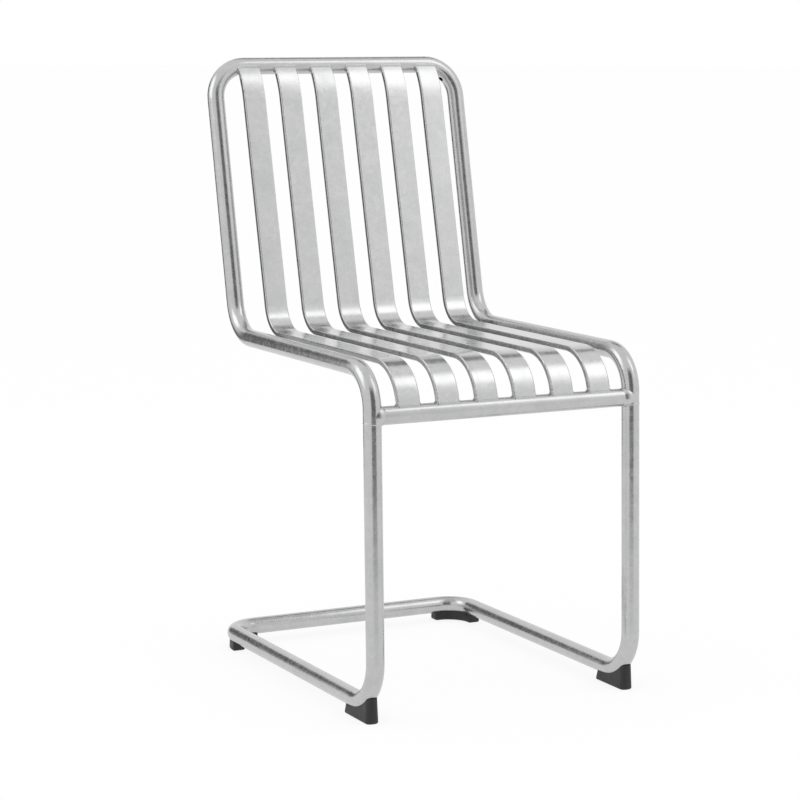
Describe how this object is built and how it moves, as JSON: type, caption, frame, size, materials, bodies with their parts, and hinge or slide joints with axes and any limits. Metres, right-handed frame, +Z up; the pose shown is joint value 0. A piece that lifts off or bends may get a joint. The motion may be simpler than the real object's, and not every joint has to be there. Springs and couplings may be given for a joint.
{
  "type": "metal bistro chair",
  "caption": "Cantilever bistro chair of bent round steel tube, with flat steel slats for seat and back and black plastic feet.",
  "frame": {"origin": "on the floor, at the middle of the chair's width and depth", "axes": "+Z up, -Y towards the front of the seat, +Y towards the back, +X to the right seen from the front"},
  "size_m": [0.4022, 0.5335, 0.8305],
  "materials": {
    "frame_steel": "hot-dip galvanised, satin",
    "slat_steel": "hot-dip galvanised, satin",
    "weld_metal": "galvanised weld bead",
    "foot_plastic": "matt black, lightly grained",
    "screw_steel": "zinc plated"
  },
  "bodies": {
    "root": {"upper_frame_tube": "frame_steel", "base_frame_tube": "frame_steel", "front_crossbar": "frame_steel", "slat_1": "slat_steel", "slat_2": "slat_steel", "slat_3": "slat_steel", "slat_4": "slat_steel", "slat_5": "slat_steel", "slat_6": "slat_steel", "leg_joint_weld_left": "weld_metal", "leg_joint_weld_right": "weld_metal", "crossbar_weld_left": "weld_metal", "crossbar_weld_right": "weld_metal", "slat_top_welds": "weld_metal", "slat_front_welds": "weld_metal", "front_foot_left": "foot_plastic", "front_foot_right": "foot_plastic", "rear_foot_left": "foot_plastic", "rear_foot_right": "foot_plastic", "foot_screws": "screw_steel"}
  },
  "joints": []
}
